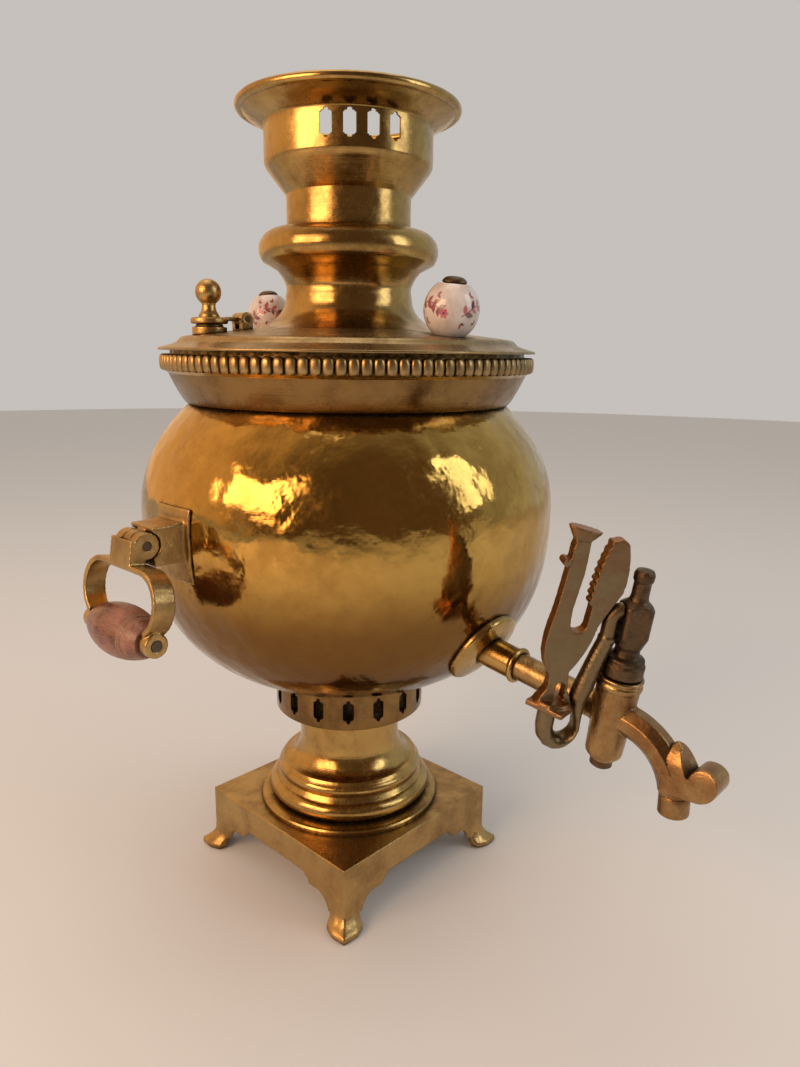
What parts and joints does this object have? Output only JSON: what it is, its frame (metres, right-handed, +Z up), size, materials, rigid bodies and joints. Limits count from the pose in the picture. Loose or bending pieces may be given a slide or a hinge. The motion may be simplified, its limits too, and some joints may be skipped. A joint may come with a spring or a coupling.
{
  "type": "samovar",
  "caption": "Charcoal samovar: round brass urn with fire tube, lid, pierced crown, drop handles and a tap with a rooster key.",
  "frame": {"origin": "on the vertical axis of the body, at the level of the feet", "axes": "+Z up, -Y towards the tap, handles on X"},
  "size_m": [0.3222, 0.354, 0.4461],
  "materials": {
    "polished_brass": "polished, lightly tarnished",
    "spun_brass": "spun and polished, tarnished in the hollows",
    "cast_brass": "satin cast brass",
    "tap_bronze": "worn cast bronze",
    "dark_bronze": "rough, darkened",
    "sooty_brass": "dulled by fire",
    "iron": "rough cast",
    "steel": "dull",
    "porcelain": "glazed white porcelain with painted sprigs",
    "turned_wood": "turned and stained, worn"
  },
  "bodies": {
    "vessel": {"base": "cast_brass", "pedestal": "spun_brass", "blower_drum": "spun_brass", "body_shell": "polished_brass", "shoulder_band": "spun_brass", "rim_seat": "spun_brass", "beaded_rim": "cast_brass", "fire_tube": "sooty_brass", "grate": "iron", "handle_bracket_left": "cast_brass", "handle_bracket_right": "cast_brass", "hinge_pin_left": "steel", "hinge_pin_right": "steel", "tap_flange": "spun_brass", "tap_ferrule": "spun_brass", "tap_body": "tap_bronze", "spout_scroll": "tap_bronze", "tap_nozzle": "tap_bronze"},
    "lid": {"lid_plate": "polished_brass", "lid_collar": "polished_brass", "knob_front": "porcelain", "knob_back": "porcelain", "knob_bolts": "dark_bronze", "knob_nuts": "dark_bronze", "steam_seat": "cast_brass", "steam_leaf": "cast_brass", "steam_hinge_pin": "steel"},
    "steam_flap": {"steam_cap": "cast_brass", "steam_knob": "cast_brass"},
    "crown": {"crown_neck": "spun_brass", "crown_bowl": "spun_brass", "crown_rim": "spun_brass"},
    "handle_left": {"handle_strap_left": "cast_brass", "grip_bolt_left": "steel"},
    "handle_right": {"handle_strap_right": "cast_brass", "grip_bolt_right": "steel"},
    "grip_left_turning": {"grip_left": "turned_wood"},
    "grip_right_turning": {"grip_right": "turned_wood"},
    "tap_key": {"tap_plug": "dark_bronze", "plug_washer": "tap_bronze", "plug_nut": "dark_bronze", "key_arm": "tap_bronze", "rooster": "tap_bronze"}
  },
  "joints": [
    {"name": "lid_lift", "type": "slide", "parent": "vessel", "child": "lid", "axis": [0, 0, 1], "range_m": [0, 0.12]},
    {"name": "crown_lift", "type": "slide", "parent": "lid", "child": "crown", "axis": [0, 0, 1], "range_m": [0, 0.08]},
    {"name": "steam_swing", "type": "hinge", "parent": "lid", "child": "steam_flap", "pos_m": [-0.06182, 0.01656, 0.33324], "axis": [0.2588, 0.9659, 0], "range_deg": [0, 75]},
    {"name": "handle_left_swing", "type": "hinge", "parent": "vessel", "child": "handle_left", "pos_m": [-0.1385, 0, 0.2269], "axis": [0, 1, 0], "range_deg": [0, 81]},
    {"name": "handle_right_swing", "type": "hinge", "parent": "vessel", "child": "handle_right", "pos_m": [0.1385, 0, 0.2269], "axis": [0, -1, 0], "range_deg": [0, 81]},
    {"name": "grip_left_spin", "type": "hinge", "parent": "handle_left", "child": "grip_left_turning", "pos_m": [-0.14811, 0, 0.18539], "axis": [0, 1, 0], "continuous": true},
    {"name": "grip_right_spin", "type": "hinge", "parent": "handle_right", "child": "grip_right_turning", "pos_m": [0.14811, 0, 0.18539], "axis": [0, 1, 0], "continuous": true},
    {"name": "tap_turn", "type": "hinge", "parent": "vessel", "child": "tap_key", "pos_m": [0, -0.1808, 0.15348], "axis": [0, -0.1478, 0.989], "range_deg": [0, 90]}
  ]
}
